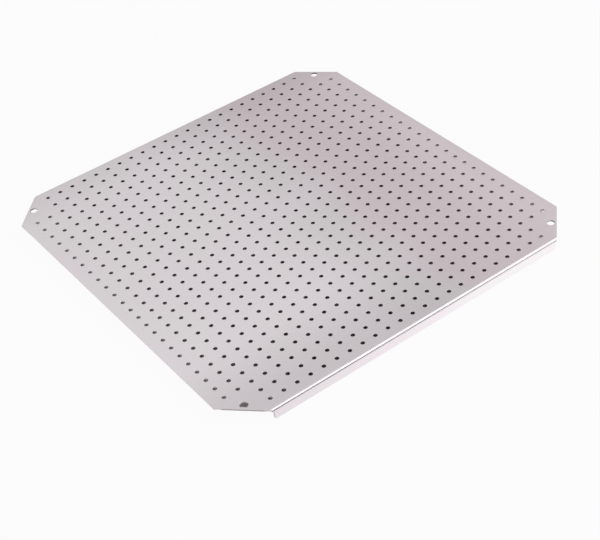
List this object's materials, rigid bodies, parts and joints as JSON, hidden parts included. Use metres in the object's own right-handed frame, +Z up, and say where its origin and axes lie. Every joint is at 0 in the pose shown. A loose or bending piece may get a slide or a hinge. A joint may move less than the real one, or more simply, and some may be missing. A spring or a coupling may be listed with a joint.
{
  "type": "perforated mounting panel",
  "caption": "Flat square panel of zinc-coated sheet steel with a close grid of small round holes, cut corners with a fixing hole in each, and a low flange folded down along two opposite edges.",
  "frame": {"origin": "level of the flanges' lower edges, under the middle of the panel", "axes": "+X along the two folded flanges, +Y across the panel from the flange on the narrow-pitch side to the one on the wide-pitch side, +Z up out of the plain upper face"},
  "size_m": [0.35, 0.36, 0.01],
  "materials": {
    "zinc_coated_steel": "smooth zinc coating, satin, with faint rolling lines"
  },
  "bodies": {
    "root": {"perforated_sheet": "zinc_coated_steel"}
  },
  "joints": []
}
